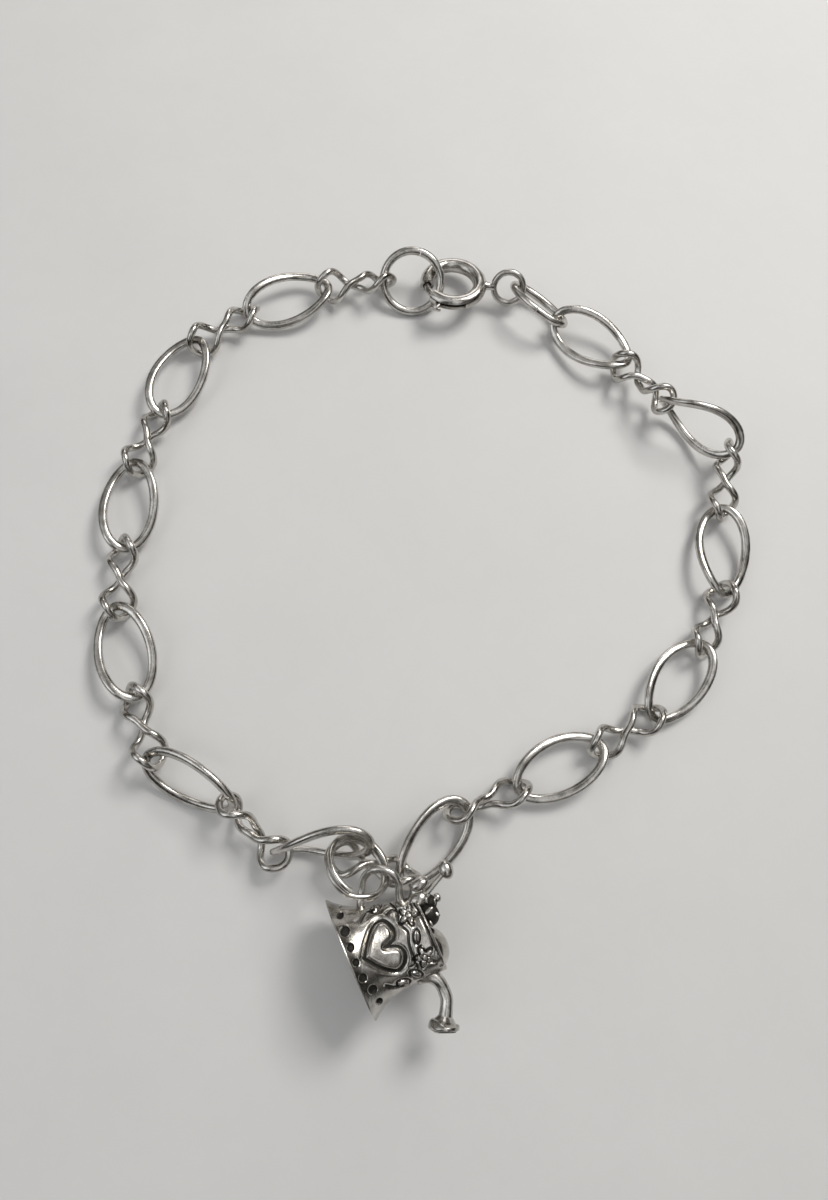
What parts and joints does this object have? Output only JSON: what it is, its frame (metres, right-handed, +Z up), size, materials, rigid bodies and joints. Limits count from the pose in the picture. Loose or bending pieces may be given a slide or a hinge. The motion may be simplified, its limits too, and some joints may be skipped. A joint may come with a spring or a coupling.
{
  "type": "charm bracelet with spring-ring clasp",
  "caption": "Silver charm bracelet of long oval and twisted wire links, with a spring-ring clasp and a watering can charm.",
  "frame": {"origin": "middle of the bounding box, on the surface that the bracelet lies on", "axes": "+X to the right and +Y away from the viewer as in the picture, the charm towards -Y and the clasp towards +Y; +Z up from the surface"},
  "size_m": [0.0592, 0.0698, 0.0072],
  "materials": {
    "silver": "polished, slightly tarnished"
  },
  "bodies": {
    "bracelet": {"jump_ring": "silver", "twisted_link_01": "silver", "long_link_01": "silver", "twisted_link_02": "silver", "long_link_02": "silver", "twisted_link_03": "silver", "long_link_03": "silver", "twisted_link_04": "silver", "long_link_04": "silver", "twisted_link_05": "silver", "long_link_05": "silver", "twisted_link_06": "silver", "long_link_06": "silver", "twisted_link_07": "silver", "long_link_07": "silver", "twisted_link_08": "silver", "long_link_08": "silver", "twisted_link_09": "silver", "long_link_09": "silver", "twisted_link_10": "silver", "long_link_10": "silver", "twisted_link_11": "silver", "long_link_11": "silver", "twisted_link_12": "silver", "long_link_12": "silver", "connector_link": "silver", "clasp_body": "silver", "split_ring": "silver", "watering_can_charm": "silver"},
    "trigger": {"clasp_trigger": "silver"}
  },
  "joints": [
    {"name": "trigger_slide", "type": "hinge", "parent": "bracelet", "child": "trigger", "pos_m": [0.00282, 0.03174, 0.00205], "axis": [-0.008, 0.2261, 0.9741], "range_deg": [0, 40], "stiffness_Nm_per_rad": 0.000002, "springref_deg": -5.73}
  ]
}
